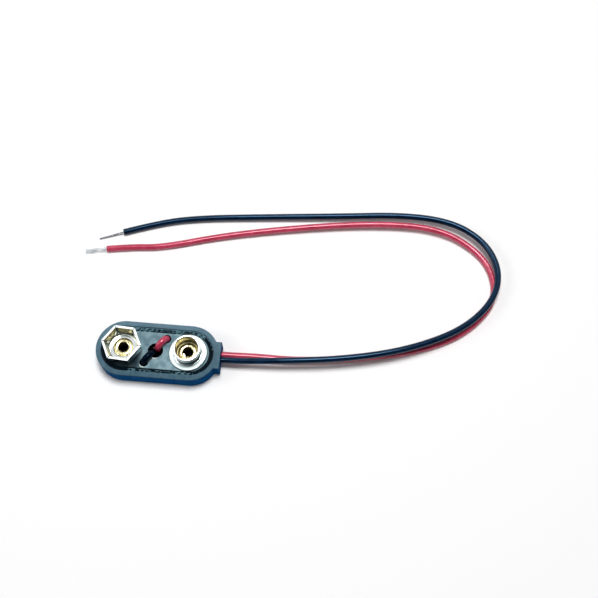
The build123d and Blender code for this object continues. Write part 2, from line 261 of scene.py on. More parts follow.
@dataclass(frozen=True)
class Vinyl(Finish):
    """Soft vinyl in any state: a coloured body under a grained gloss."""

    ior: float = 1.53
    roughness: float = 0.5
    gloss: float = 0.01
    gloss_hex: str = WHITE_HEX

    def cover(
        self,
        tree: NodeTree,
        place: NodeSocket,
        colour: NodeSocket,
        roughness: NodeSocket | None = None,
    ) -> Node:
        """Covers the coloured body with its gloss.

        Args:
            tree: The material's node tree.
            place: The object's coordinates.
            colour: The body's colour.
            roughness: The gloss's roughness, where it varies.

        Returns:
            The shader.
        """
        return add_node(
            tree,
            "ShaderNodeBsdfPrincipled",
            inputs={
                "Base Color": colour,
                "Roughness": self.roughness if roughness is None else roughness,
                "IOR": self.ior,
                "Specular IOR Level": self.gloss,
                "Specular Tint": linear(self.gloss_hex),
                "Normal": self.grain(tree, place),
            },
        )

    def across(
        self, tree: NodeTree, place: NodeSocket, half_width_mm: float, near: float, far: float
    ) -> NodeSocket:
        """Grades a value across the connector.

        Args:
            tree: The material's node tree.
            place: The object's coordinates.
            half_width_mm: How far the edges are from the middle.
            near: The value at the near edge.
            far: The value at the far edge.

        Returns:
            The value.
        """
        return add_node(
            tree,
            "ShaderNodeMapRange",
            inputs={
                "Value": add_node(tree, "ShaderNodeSeparateXYZ", inputs={"Vector": place}).outputs["Y"],
                "From Min": -half_width_mm * MM,
                "From Max": half_width_mm * MM,
                "To Min": near,
                "To Max": far,
            },
        ).outputs["Result"]


@dataclass(frozen=True)
class PressedVinyl(Vinyl):
    """Soft navy vinyl, moulded smooth, and matte where a hot platen pressed its rim, which is painted paler
    as sheen of light.
    """

    name: str = "soft_vinyl_moulded_pressed_painted_sheen"
    mottle_mm: float = 1.1
    grain_mm: float = 0.16
    grain_depth_mm: float = 0.012
    moulded_hex: str = "#084F86"
    moulded_dark_hex: str = "#063E6B"
    pressed_sheen_near_hex: str = "#425E6D"
    pressed_sheen_far_hex: str = "#688594"
    pressed_from_mm: float = 3.45
    pressed_full_mm: float = 3.72
    half_width_mm: float = 5.6
    far_sheen_share: float = 0.7
    mottle_share: float = 0.3
    under_plate_shade_hex: str = "#1C1913"
    cavity_below_mm: float = 2.2
    faces_up: float = 0.5
    roughness: float = 0.36
    pressed_roughness: float = 0.6
    gloss: float = 0.001

    def surface(self, tree: NodeTree, place: NodeSocket) -> Node:
        """Builds the casing's shader.

        Args:
            tree: The material's node tree.
            place: The object's coordinates.

        Returns:
            The shader.
        """
        mottle = self.mottle(tree, place)
        # The platen only touched the top, so the matte skin, painted pale as sheen of light, starts at the
        # rim's edge radius
        pressed = self.above(tree, place, self.pressed_from_mm, self.pressed_full_mm)
        # Painted light: the sheen on the top is painted paler towards the far edge
        far_sheen = self.across(tree, place, self.half_width_mm, 0.0, self.far_sheen_share)
        sheen_and_mottle = add_node(
            tree,
            "ShaderNodeMath",
            {"operation": "MULTIPLY_ADD", "use_clamp": True},
            {0: mottle, 1: self.mottle_share, 2: far_sheen},
        ).outputs["Value"]
        moulded_colour, sheen_colour = (
            add_node(
                tree,
                "ShaderNodeMix",
                COLOUR_MIX,
                {SHARE: share, COLOUR_A: linear(low), COLOUR_B: linear(high)},
            ).outputs[COLOUR_OUT]
            for share, low, high in (
                (mottle, self.moulded_dark_hex, self.moulded_hex),
                (sheen_and_mottle, self.pressed_sheen_near_hex, self.pressed_sheen_far_hex),
            )
        )
        outside = add_node(
            tree,
            "ShaderNodeMix",
            COLOUR_MIX,
            {SHARE: pressed, COLOUR_A: moulded_colour, COLOUR_B: sheen_colour},
        ).outputs[COLOUR_OUT]
        # Painted shade: the up-facing floor under the plate is darkened
        colour = add_node(
            tree,
            "ShaderNodeMix",
            COLOUR_MIX,
            {SHARE: self.painted_floor_shade(tree, place), COLOUR_A: outside, COLOUR_B: linear(self.under_plate_shade_hex)},
        ).outputs[COLOUR_OUT]
        roughness = add_node(
            tree,
            "ShaderNodeMapRange",
            inputs={"Value": pressed, "To Min": self.roughness, "To Max": self.pressed_roughness},
        ).outputs["Result"]
        return self.cover(tree, place, colour, roughness)

    def painted_floor_shade(self, tree: NodeTree, place: NodeSocket) -> NodeSocket:
        """Finds the floor under the plate, where shade is painted.

        Args:
            tree: The material's node tree.
            place: The object's coordinates.

        Returns:
            1 on that floor and 0 elsewhere.
        """
        height = add_node(tree, "ShaderNodeSeparateXYZ", inputs={"Vector": place}).outputs["Z"]
        normal = add_node(tree, "ShaderNodeTexCoord").outputs["Normal"]
        upwards = add_node(tree, "ShaderNodeSeparateXYZ", inputs={"Vector": normal}).outputs["Z"]
        level = add_node(
            tree, "ShaderNodeMath", {"operation": "GREATER_THAN"}, {0: upwards, 1: self.faces_up}
        )
        low = add_node(
            tree, "ShaderNodeMath", {"operation": "LESS_THAN"}, {0: height, 1: self.cavity_below_mm * MM}
        )
        return add_node(
            tree, "ShaderNodeMath", {"operation": "MULTIPLY"}, {0: level.outputs[0], 1: low.outputs[0]}
        ).outputs["Value"]


@dataclass(frozen=True)
class SheetVinyl(Vinyl):
    """Calendered vinyl sheet: matte slate with cloudy paler patches, dark where the seal melted it, and
    with painted shade of the socket.
    """

    name: str = "calendered_vinyl_sheet"
    mottle_mm: float = 1.6
    grain_mm: float = 0.22
    grain_depth_mm: float = 0.014
    slate_hex: str = "#67838F"
    pale_hex: str = "#8FACB4"
    melt_and_shade_hex: str = "#061720"
    melted_below_mm: float = 3.43
    sheet_above_mm: float = 3.485
    half_width_mm: float = 4.6
    far_cloud: float = -0.18
    near_cloud: float = 0.2
    socket_shade_mm: Point = (-6.3, -2.9, 3.5)
    socket_shade_core_mm: float = 2.3
    socket_shade_reach_mm: float = 4.3
    socket_shade_left: float = 0.14
    roughness: float = 0.62

    def surface(self, tree: NodeTree, place: NodeSocket) -> Node:
        """Builds the contact plate's shader.

        Args:
            tree: The material's node tree.
            place: The object's coordinates.

        Returns:
            The shader.
        """
        whole = self.above(tree, place, self.melted_below_mm, self.sheet_above_mm)
        # The sheet is cloudier towards its near edge
        drift = self.across(tree, place, self.half_width_mm, self.near_cloud, self.far_cloud)
        cloud = add_node(
            tree,
            "ShaderNodeMath",
            {"operation": "ADD", "use_clamp": True},
            {0: self.mottle(tree, place), 1: drift},
        ).outputs["Value"]
        sheet_colour = add_node(
            tree,
            "ShaderNodeMix",
            COLOUR_MIX,
            {SHARE: cloud, COLOUR_A: linear(self.slate_hex), COLOUR_B: linear(self.pale_hex)},
        ).outputs[COLOUR_OUT]
        # Painted shade of the socket darkens the sheet on the socket's near side
        distance = add_node(
            tree,
            "ShaderNodeVectorMath",
            {"operation": "DISTANCE"},
            {0: place, 1: tuple(share * MM for share in self.socket_shade_mm)},
        ).outputs["Value"]
        unshaded = add_node(
            tree,
            "ShaderNodeMapRange",
            SMOOTH_STEP,
            {
                "Value": distance,
                "From Min": self.socket_shade_core_mm * MM,
                "From Max": self.socket_shade_reach_mm * MM,
                "To Min": self.socket_shade_left,
            },
        ).outputs["Result"]
        sheet = add_node(
            tree, "ShaderNodeMath", {"operation": "MULTIPLY"}, {0: whole, 1: unshaded}
        ).outputs["Value"]
        colour = add_node(
            tree,
            "ShaderNodeMix",
            COLOUR_MIX,
            {SHARE: sheet, COLOUR_A: linear(self.melt_and_shade_hex), COLOUR_B: sheet_colour},
        ).outputs[COLOUR_OUT]
        return self.cover(tree, place, colour)


@dataclass(frozen=True)
class MeltedVinyl(Vinyl):
    """Vinyl melted and squeezed by the seal's teeth: slate on its skin, near black in its creases."""

    name: str = "melted_vinyl_seal"
    mottle_mm: float = 0.5
    grain_mm: float = 0.12
    grain_depth_mm: float = 0.02
    hollow_hex: str = "#04121A"
    skin_hex: str = "#3C5C69"
    skin_pale_hex: str = "#60838E"
    hollow_below_mm: float = 3.34
    skin_above_mm: float = 3.44
    roughness: float = 0.46
    gloss: float = 0.05

    def surface(self, tree: NodeTree, place: NodeSocket) -> Node:
        """Builds the seal's shader.

        Args:
            tree: The material's node tree.
            place: The object's coordinates.

        Returns:
            The shader.
        """
        # Near black below the skin's height, in the creases, and mottled slate on the skin above
        skin = self.above(tree, place, self.hollow_below_mm, self.skin_above_mm)
        mottle = self.mottle(tree, place)
        skin_colour = add_node(
            tree,
            "ShaderNodeMix",
            COLOUR_MIX,
            {SHARE: mottle, COLOUR_A: linear(self.skin_hex), COLOUR_B: linear(self.skin_pale_hex)},
        ).outputs[COLOUR_OUT]
        colour = add_node(
            tree,
            "ShaderNodeMix",
            COLOUR_MIX,
            {SHARE: skin, COLOUR_A: linear(self.hollow_hex), COLOUR_B: skin_colour},
        ).outputs[COLOUR_OUT]
        return self.cover(tree, place, colour)


@dataclass(frozen=True)
class WireVinyl(Vinyl):
    """Extruded soft vinyl insulation: smooth, waxy gloss, with faint cloudy streaks of pigment."""

    name: str = "extruded_vinyl_insulation"
    mottle_mm: float = 2.4
    grain_mm: float = 0.3
    grain_depth_mm: float = 0.004
    deep_hex: str = "#B02C48"
    light_hex: str = "#C94060"
    hidden_hex: str = "#12060A"
    hidden_below_mm: float = 2.6
    lit_above_mm: float = 3.5
    held: bool = False
    roughness: float = 0.19
    gloss: float = 0.85
    gloss_hex: str = "#FFC6D0"

    def surface(self, tree: NodeTree, place: NodeSocket) -> Node:
        """Builds the insulation's shader.

        Args:
            tree: The material's node tree.
            place: The object's coordinates.

        Returns:
            The shader.
        """
        mottle = self.mottle(tree, place)
        colour = add_node(
            tree,
            "ShaderNodeMix",
            COLOUR_MIX,
            {SHARE: mottle, COLOUR_A: linear(self.deep_hex), COLOUR_B: linear(self.light_hex)},
        ).outputs[COLOUR_OUT]
        # Painted shade: the held stretch darkens inside the casing
        if self.held:
            colour = self.painted_inside_shade(tree, place, colour)
        return self.cover(tree, place, colour)

    def painted_inside_shade(self, tree: NodeTree, place: NodeSocket, colour: NodeSocket) -> NodeSocket:
        """Paints shade on the stretch inside the casing, darker lower down.

        Args:
            tree: The material's node tree.
            place: The object's coordinates.
            colour: The clean insulation's colour.

        Returns:
            The colour of the held stretch.
        """
        lit_share = self.above(tree, place, self.hidden_below_mm, self.lit_above_mm)
        return add_node(
            tree,
            "ShaderNodeMix",
            COLOUR_MIX,
            {SHARE: lit_share, COLOUR_A: linear(self.hidden_hex), COLOUR_B: colour},
        ).outputs[COLOUR_OUT]


@dataclass(frozen=True)
class PlatedSheetMetal(Finish):
    """Drawn sheet under a thin bright plating: clear reflections, with a light uneven haze."""

    name: str = "nickel_plated_steel"
    mottle_mm: float = 1.4
    grain_mm: float = 0.35
    grain_depth_mm: float = 0.0006
    bright_hex: str = "#DDE2E0"
    hazed_hex: str = "#BAC2C3"
    clear_roughness: float = 0.08
    hazed_roughness: float = 0.17
    wave_mm: float = 2.6
    wave_depth_mm: float = 0.006

    def surface(self, tree: NodeTree, place: NodeSocket) -> Node:
        """Builds the plated metal's shader.

        Args:
            tree: The material's node tree.
            place: The object's coordinates.

        Returns:
            The shader.
        """
        colour, roughness = self.plating(tree, place)
        return add_node(
            tree,
            "ShaderNodeBsdfPrincipled",
            inputs={
                "Base Color": colour,
                "Metallic": 1.0,
                "Roughness": roughness,
                "Normal": self.waves(tree, place),
            },
        )

    def plating(self, tree: NodeTree, place: NodeSocket) -> tuple[NodeSocket, NodeSocket]:
        """Hazes the plating's colour and roughness together.

        Args:
            tree: The material's node tree.
            place: The object's coordinates.

        Returns:
            The colour and the roughness.
        """
        mottle = self.mottle(tree, place)
        colour = add_node(
            tree,
            "ShaderNodeMix",
            COLOUR_MIX,
            {SHARE: mottle, COLOUR_A: linear(self.hazed_hex), COLOUR_B: linear(self.bright_hex)},
        ).outputs[COLOUR_OUT]
        roughness = add_node(
            tree,
            "ShaderNodeMapRange",
            inputs={"Value": mottle, "To Min": self.hazed_roughness, "To Max": self.clear_roughness},
        ).outputs["Result"]
        return colour, roughness

    def waves(self, tree: NodeTree, place: NodeSocket) -> NodeSocket:
        """Bends the grained normal by the slow waves that drawing leaves in sheet.

        Args:
            tree: The material's node tree.
            place: The object's coordinates.

        Returns:
            The bent normal.
        """
        texture = add_node(
            tree,
            "ShaderNodeTexNoise",
            inputs={"Vector": place, "Scale": per_metre(self.wave_mm), "Detail": 1.0},
        )
        return add_node(
            tree,
            "ShaderNodeBump",
            inputs={
                "Height": texture.outputs["Fac"],
                "Distance": self.wave_depth_mm * MM,
                "Normal": self.grain(tree, place),
                **FULL_BUMP,
            },
        ).outputs["Normal"]


@dataclass(frozen=True)
class TerminalPlating(PlatedSheetMetal):
    """One terminal's nickel: rougher and painted darker as shade inside, with a painted highlight along its
    top edge.
    """

    centre_x_mm: float = 0.0
    inside_hex: str = "#8C8562"
    inside_roughness: float = 0.34
    faces_in_from: float = -0.2
    faces_in_fully: float = -0.7
    shaded_floor_radius_mm: float = 0.0
    top_mm: float = 6.6
    rim_highlight_mm: float = 0.16
    rim_highlight_hex: str = "#EEF3F3"
    rim_highlight_roughness: float = 0.2

    def plating(self, tree: NodeTree, place: NodeSocket) -> tuple[NodeSocket, NodeSocket]:
        """Lays the terminal's marks over its plating.

        Args:
            tree: The material's node tree.
            place: The object's coordinates.

        Returns:
            The colour and the roughness.
        """
        colour, roughness = super().plating(tree, place)
        for mask, mark_hex, mark_roughness in self.marks(tree, place):
            colour = add_node(
                tree,
                "ShaderNodeMix",
                COLOUR_MIX,
                {SHARE: mask, COLOUR_A: colour, COLOUR_B: linear(mark_hex)},
            ).outputs[COLOUR_OUT]
            if mark_roughness:
                roughness = add_node(
                    tree, "ShaderNodeMix", inputs={SHARE: mask, VALUE_A: roughness, VALUE_B: mark_roughness}
                ).outputs[0]
        return colour, roughness

    def marks(self, tree: NodeTree, place: NodeSocket) -> list[Mark]:
        """Returns the painted shade inside and the painted highlight along the top edge: where each is, its
        colour and its roughness.
        """
        return [
            (self.inside(tree, place), self.inside_hex, self.inside_roughness),
            (self.rim_highlight(tree, place), self.rim_highlight_hex, self.rim_highlight_roughness),
        ]

    def from_axis(self, tree: NodeTree, place: NodeSocket) -> tuple[NodeSocket, NodeSocket]:
        """Measures from the terminal's axis.

        Args:
            tree: The material's node tree.
            place: The object's coordinates.

        Returns:
            The level way from the axis to the spot, and its length.
        """
        offset = add_node(
            tree,
            "ShaderNodeVectorMath",
            {"operation": "SUBTRACT"},
            {0: place, 1: (self.centre_x_mm * MM, 0.0, 0.0)},
        )
        level = add_node(
            tree,
            "ShaderNodeVectorMath",
            {"operation": "MULTIPLY"},
            {0: offset.outputs["Vector"], 1: (1.0, 1.0, 0.0)},
        ).outputs["Vector"]
        radius = add_node(tree, "ShaderNodeVectorMath", {"operation": "LENGTH"}, {0: level})
        return level, radius.outputs["Value"]

    def inside(self, tree: NodeTree, place: NodeSocket) -> NodeSocket:
        """Finds the inside of the terminal, which is rougher and painted darker as shade.

        Args:
            tree: The material's node tree.
            place: The object's coordinates.

        Returns:
            1 there and 0 elsewhere.
        """
        level, radius = self.from_axis(tree, place)
        outwards = add_node(tree, "ShaderNodeVectorMath", {"operation": "NORMALIZE"}, {0: level})
        normal = add_node(tree, "ShaderNodeTexCoord").outputs["Normal"]
        facing = add_node(
            tree,
            "ShaderNodeVectorMath",
            {"operation": "DOT_PRODUCT"},
            {0: normal, 1: outwards.outputs["Vector"]},
        )
        wall = add_node(
            tree,
            "ShaderNodeMapRange",
            inputs={
                "Value": facing.outputs["Value"],
                "From Min": self.faces_in_from,
                "From Max": self.faces_in_fully,
            },
        )
        floor = add_node(
            tree, "ShaderNodeMath", {"operation": "LESS_THAN"}, {0: radius, 1: self.shaded_floor_radius_mm * MM}
        )
        return add_node(
            tree,
            "ShaderNodeMath",
            {"operation": "MAXIMUM"},
            {0: wall.outputs["Result"], 1: floor.outputs["Value"]},
        ).outputs["Value"]

    def rim_highlight(self, tree: NodeTree, place: NodeSocket) -> NodeSocket:
        """Returns 1 along the top edge, where a highlight is painted."""
        edge_mm = self.top_mm - self.rim_highlight_mm
        return self.above(tree, place, edge_mm, edge_mm + self.rim_highlight_mm / 2)


@dataclass(frozen=True)
class StudPlating(TerminalPlating):
    """The stud's nickel: a dark reflection painted on its post's side towards the leads, and pressed satin
    on its flange.
    """

    shaded_floor_radius_mm: float = 2.3
    post_radius_mm: float = 2.85
    lead_side_shade_hex: str = "#6E7A75"
    lead_side_shade_from: float = -0.1
    lead_side_shade_fully: float = 0.6
    satin_hex: str = "#9CA8A6"
    satin_roughness: float = 0.42

    def marks(self, tree: NodeTree, place: NodeSocket) -> list[Mark]:
        """Puts the stud's own marks under those that both terminals have.

        Args:
            tree: The material's node tree.
            place: The object's coordinates.

        Returns:
            The marks: where each is, its colour and its roughness.
        """
        radius = self.from_axis(tree, place)[1]
        post = add_node(
            tree, "ShaderNodeMath", {"operation": "LESS_THAN"}, {0: radius, 1: self.post_radius_mm * MM}
        ).outputs["Value"]
        normal = add_node(tree, "ShaderNodeTexCoord").outputs["Normal"]
        facing = add_node(tree, "ShaderNodeSeparateXYZ", inputs={"Vector": normal})
        towards_leads = add_node(
            tree,
            "ShaderNodeMapRange",
            SMOOTH_STEP,
            {
                "Value": facing.outputs["X"],
                "From Min": self.lead_side_shade_from,
                "From Max": self.lead_side_shade_fully,
            },
        ).outputs["Result"]
        # Painted reflection: the post's side towards the leads is darkened
        lead_side_shade = add_node(
            tree, "ShaderNodeMath", {"operation": "MULTIPLY"}, {0: post, 1: towards_leads}
        ).outputs["Value"]
        flange = add_node(
            tree,
            "ShaderNodeMath",
            {"operation": "SUBTRACT", "use_clamp": True},
            {0: facing.outputs["Z"], 1: post},
        ).outputs["Value"]
        return [
            (lead_side_shade, self.lead_side_shade_hex, None),
            (flange, self.satin_hex, self.satin_roughness),
            *super().marks(tree, place),
        ]


BRASS = PlatedSheetMetal(
    name="plated_brass_eyelet",
    mottle_mm=0.7,
    bright_hex="#EDE4BC",
    hazed_hex="#D2C694",
    clear_roughness=0.1,
    hazed_roughness=0.24,
)
TINNED = PlatedSheetMetal(
    name="tinned_copper_strand",
    mottle_mm=0.5,
    grain_mm=0.1,
    bright_hex="#E8EEF2",
    hazed_hex="#B4BCC2",
    clear_roughness=0.25,
    hazed_roughness=0.42,
)
DULL_TINNED = replace(TINNED, name="dulled_copper_strand", bright_hex="#A8ADB2", hazed_hex="#6C7378")
SOLDER = PlatedSheetMetal(
    name="tin_lead_solder",
    mottle_mm=0.6,
    bright_hex="#C9CACA",
    hazed_hex="#A3A5A6",
    clear_roughness=0.2,
    hazed_roughness=0.38,
)
RED_VINYL = WireVinyl(name="red_vinyl_insulation")
RED_HELD = replace(RED_VINYL, name="red_vinyl_insulation_held", held=True)
BLACK_VINYL = WireVinyl(
    name="black_vinyl_insulation",
    deep_hex="#010F24",
    light_hex="#061E38",
    hidden_hex="#020406",
    roughness=0.16,
    gloss=0.36,
    gloss_hex="#93C8F6",
)
BLACK_HELD = replace(
    BLACK_VINYL, name="black_vinyl_insulation_held", held=True, light_hex="#020A14", gloss=0.08
)


def dress_node(name: str, material: Material) -> None:
    """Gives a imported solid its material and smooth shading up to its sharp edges.

    Args:
        name: The solid's node.
        material: What its surface gets.
    """
    node = frame["nodes"][name]
    node.data.materials.clear()
    node.data.materials.append(material)
    node.data.shade_smooth()
    node.data.set_sharp_from_angle(angle=SMOOTH_ANGLE)
    LOG.info("dressed %s in %s", name, material.name)


def add_piece(name: str, data: Mesh | Curve, material: Material) -> Object:
    """Adds a piece made here, which rides with the part.

    Args:
        name: The piece's name.
        data: Its mesh or curve, in the part's own frame.
        material: What its surface gets.

    Returns:
        The new object.
    """
    piece = bpy.data.objects.new(name, data)
    bpy.context.scene.collection.objects.link(piece)
    data.materials.append(material)
    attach(piece, ROOT_BODY)
    LOG.info("built %s in %s", name, material.name)
    return piece


def closed_rings(name: str, rings: list[list[Vector]], around: bool) -> Mesh:
    """Skins rings of points into one closed mesh.

    Args:
        name: The mesh's name.
        rings: Rings with the same number of points each, in order.
        around: Whether the last ring joins the first. If not, both ends are capped.

    Returns:
        The new mesh, shaded smooth.
    """
    size = len(rings[0])
    points = [point for ring in rings for point in ring]
    faces: list[tuple[int, ...]] = []
    for step in range(len(rings) if around else len(rings) - 1):
        here, there = step * size, (step + 1) % len(rings) * size
        for corner in range(size):
            turn = (corner + 1) % size
            faces.append((here + corner, here + turn, there + turn, there + corner))
    if not around:
        faces.append(tuple(reversed(range(size))))
        faces.append(tuple(range(len(points) - size, len(points))))
    mesh = bpy.data.meshes.new(name)
    mesh.from_pydata(points, [], faces)
    mesh.validate()
    mesh.shade_smooth()
    mesh.set_sharp_from_angle(angle=SMOOTH_ANGLE)
    return mesh


@dataclass
class SealBead:
    """The crinkled skin that hot teeth left round the plate, with two torn creases along it."""

    centre_x_mm: float = -0.2
    half_straight_mm: float = 6.45
    inner_radius_mm: float = 3.74
    outer_radius_mm: float = 4.58
    floor_mm: float = 3.29
    skin_mm: float = 0.18
    inner_crease: float = 0.16
    outer_crease: float = 0.66
    crease_share: float = 0.17
    left_end_mm: float = -7.6
    right_end_mm: float = 8.2
    end_run_mm: float = 1.6
    end_share: float = 0.85
    near_end_shade_lag_mm: float = 2.4
    torn_hard_to_mm: float = 2.5
    torn_harder: float = 0.7
    torn_far: float = 0.22
    far_right_share: float = 0.3
    tooth_pitch_mm: float = 1.05
    tooth_wobble: float = 2.4
    crease_wander: float = 0.07
    patch_share: float = 0.6
    patch_scale: tuple[float, float] = (0.45, 0.6)
    inner_bite: tuple[float, float] = (0.25, 0.45)
    outer_bite: tuple[float, float] = (-0.1, 0.7)
    outer_lag: float = 1.9
    crumb_mm: float = 0.03
    crumb_scale: float = 3.4
    thinnest_mm: float = 0.012
    step_mm: float = 0.09
    steps_across: int = 20

    def perimeter(self) -> float:
        """Returns the length once round the middle of the band, in millimetres."""
        middle = (self.inner_radius_mm + self.outer_radius_mm) / 2
        return 4 * self.half_straight_mm + 2 * math.pi * middle

    def place(self, along: float, radius: float) -> tuple[float, float]:
        """Finds a point of the band.

        Args:
            along: The distance round the middle of the band, in millimetres.
            radius: The distance from the line that joins the two round ends' centres.

        Returns:
            Its x and y, in millimetres.
        """
        middle = (self.inner_radius_mm + self.outer_radius_mm) / 2
        straight, bend = 2 * self.half_straight_mm, math.pi * middle
        if along < straight:
            return self.centre_x_mm - self.half_straight_mm + along, -radius
        if along < straight + bend:
            angle = (along - straight) / middle - math.pi / 2
            x = self.centre_x_mm + self.half_straight_mm + radius * math.cos(angle)
            return x, radius * math.sin(angle)
        if along < 2 * straight + bend:
            return self.centre_x_mm + self.half_straight_mm - (along - straight - bend), radius
        angle = (along - 2 * straight - bend) / middle + math.pi / 2
        x = self.centre_x_mm - self.half_straight_mm + radius * math.cos(angle)
        return x, radius * math.sin(angle)

    def height(self, x: float, y: float, along: float, across: float) -> float:
        """Finds how high the squeezed vinyl stands.

        Args:
            x: Place, in millimetres.
            y: Place, in millimetres.
            along: The distance round the band, in millimetres.
            across: The share of the band's width, 0 at its inner edge.

        Returns:
            The height above the floor of the band, in millimetres.
        """
        # Each noise is read on a level of its own, so that none follows another
        wander = self.crease_wander * noise.noise(Vector((x, y, 3)))
        wobble = self.tooth_wobble * noise.noise(Vector((x, y, 0)))
        phase = 2 * math.pi * along / self.tooth_pitch_mm + wobble
        inner = math.exp(-(((across - self.inner_crease - wander) / self.crease_share) ** 2))
        outer = math.exp(-(((across - self.outer_crease + wander) / self.crease_share) ** 2))
        patch_x, patch_y = x * self.patch_scale[0], y * self.patch_scale[1]
        patch = self.patch_share + noise.noise(Vector((patch_x, patch_y, 5)))
        if y < 0:
            patch += self.torn_harder if x < self.torn_hard_to_mm else self.torn_harder / 2
        else:
            patch += self.torn_far
        inner_bite = self.inner_bite[0] + self.inner_bite[1] * math.sin(phase)
        outer_bite = self.outer_bite[0] + self.outer_bite[1] * math.sin(phase + self.outer_lag)
        torn_inner = min(1.0, max(0.0, patch + inner_bite))
        torn_outer = min(1.0, max(0.0, patch + outer_bite))
        depth = min(1.0, inner * torn_inner + outer * torn_outer)
        # Along the near side the left end is lowered further so its dark colour shows: partly melt, partly
        # painted shade of the socket
        near_shade_lag = self.near_end_shade_lag_mm if y < 0 else 0.0
        melted = max(self.left_end_mm + near_shade_lag - x, x - self.right_end_mm) / self.end_run_mm
        share = self.far_right_share if x > 0 and y > 1 else self.end_share
        whole = 1 - share * min(1.0, max(0.0, melted))
        crumb = self.crumb_mm * noise.noise(Vector((x * self.crumb_scale, y * self.crumb_scale, 11)))
        return max(self.thinnest_mm, self.skin_mm * whole * (1 - depth) + crumb)

    def build(self, material: Material) -> Object:
        """Builds the bead as one closed ring.

        Args:
            material: What its surface gets.

        Returns:
            The bead.
        """
        total = self.perimeter()
        count = int(total / self.step_mm)
        rings = []
        for step in range(count):
            along = total * step / count
            ring = []
            for place in range(self.steps_across + 1):
                across = place / self.steps_across
                radius = self.inner_radius_mm + across * (self.outer_radius_mm - self.inner_radius_mm)
                x, y = self.place(along, radius)
                rise = self.height(x, y, along, across)
                ring.append(Vector((x, y, self.floor_mm + rise)) * MM)
            for radius in (self.outer_radius_mm, self.inner_radius_mm):
                x, y = self.place(along, radius)
                ring.append(Vector((x, y, self.floor_mm)) * MM)
            rings.append(ring[::-1])
        return add_piece("seal_bead", closed_rings("seal_bead", rings, True), material)


@dataclass
class PunchedRim:
    """The raised burr that the punch left on the near edge of a relief hole."""

    name: str
    centre_mm: tuple[float, float]
    hole_radius_mm: float
    from_deg: float
    to_deg: float
    plate_top_mm: float = 3.5
    width_mm: float = 0.3
    height_mm: float = 0.14
    end_share: float = 0.12
    fullness: float = 0.7
    steps_along: int = 26
    steps_across: int = 8

    def build(self, material: Material) -> Object:
        """Builds the burr as a crescent that thins out to both ends.

        Args:
            material: What its surface gets.

        Returns:
            The burr.
        """
        rings = []
        for step in range(self.steps_along + 1):
            share = step / self.steps_along
            angle = math.radians(self.from_deg + share * (self.to_deg - self.from_deg))
            swell = max(self.end_share, math.sin(math.pi * share) ** self.fullness)
            ring = []
            for place in range(self.steps_across + 1):
                turn = math.pi * place / self.steps_across
                radius = self.hole_radius_mm + self.width_mm * swell * (1 - math.cos(turn)) / 2
                rise = self.height_mm * swell * math.sin(turn)
                x = self.centre_mm[0] + radius * math.cos(angle)
                y = self.centre_mm[1] + radius * math.sin(angle)
                ring.append(Vector((x, y, self.plate_top_mm + rise)) * MM)
            rings.append(ring)
        return add_piece(self.name, closed_rings(self.name, rings, False), material)


@dataclass
class Shell:
    """The moulded casing and the plate sealed into it, with the marks of sealing and punching."""

    casing_finish: PressedVinyl = PressedVinyl()
    plate_finish: SheetVinyl = SheetVinyl()
    seal_finish: MeltedVinyl = MeltedVinyl()
    # The burrs' pale colour is a painted highlight where the holes' near rims catch the light
    burr_highlight_finish: SheetVinyl = SheetVinyl(
        name="vinyl_burr_painted_highlight", slate_hex="#C3D2D4", pale_hex="#DCE6E6", socket_shade_reach_mm=2.4
    )
    seal: SealBead = field(default_factory=SealBead)
    burrs: tuple[PunchedRim, ...] = (
        PunchedRim("middle_hole_burr", (-0.54, 0.0), hole_radius_mm=1.5, from_deg=238.0, to_deg=292.0),
        PunchedRim("lower_hole_burr", (-2.44, -2.56), hole_radius_mm=0.88, from_deg=205.0, to_deg=285.0),
    )

    def dress(self) -> None:
        """Dresses the casing and the plate."""
        dress_node("casing", self.casing_finish.material())
        dress_node("contact_plate", self.plate_finish.material())

    def build(self) -> None:
        """Builds the seal's bead and the burrs."""
        self.seal.build(self.seal_finish.material())
        burr_material = self.burr_highlight_finish.material()
        for burr in self.burrs:
            burr.build(burr_material)


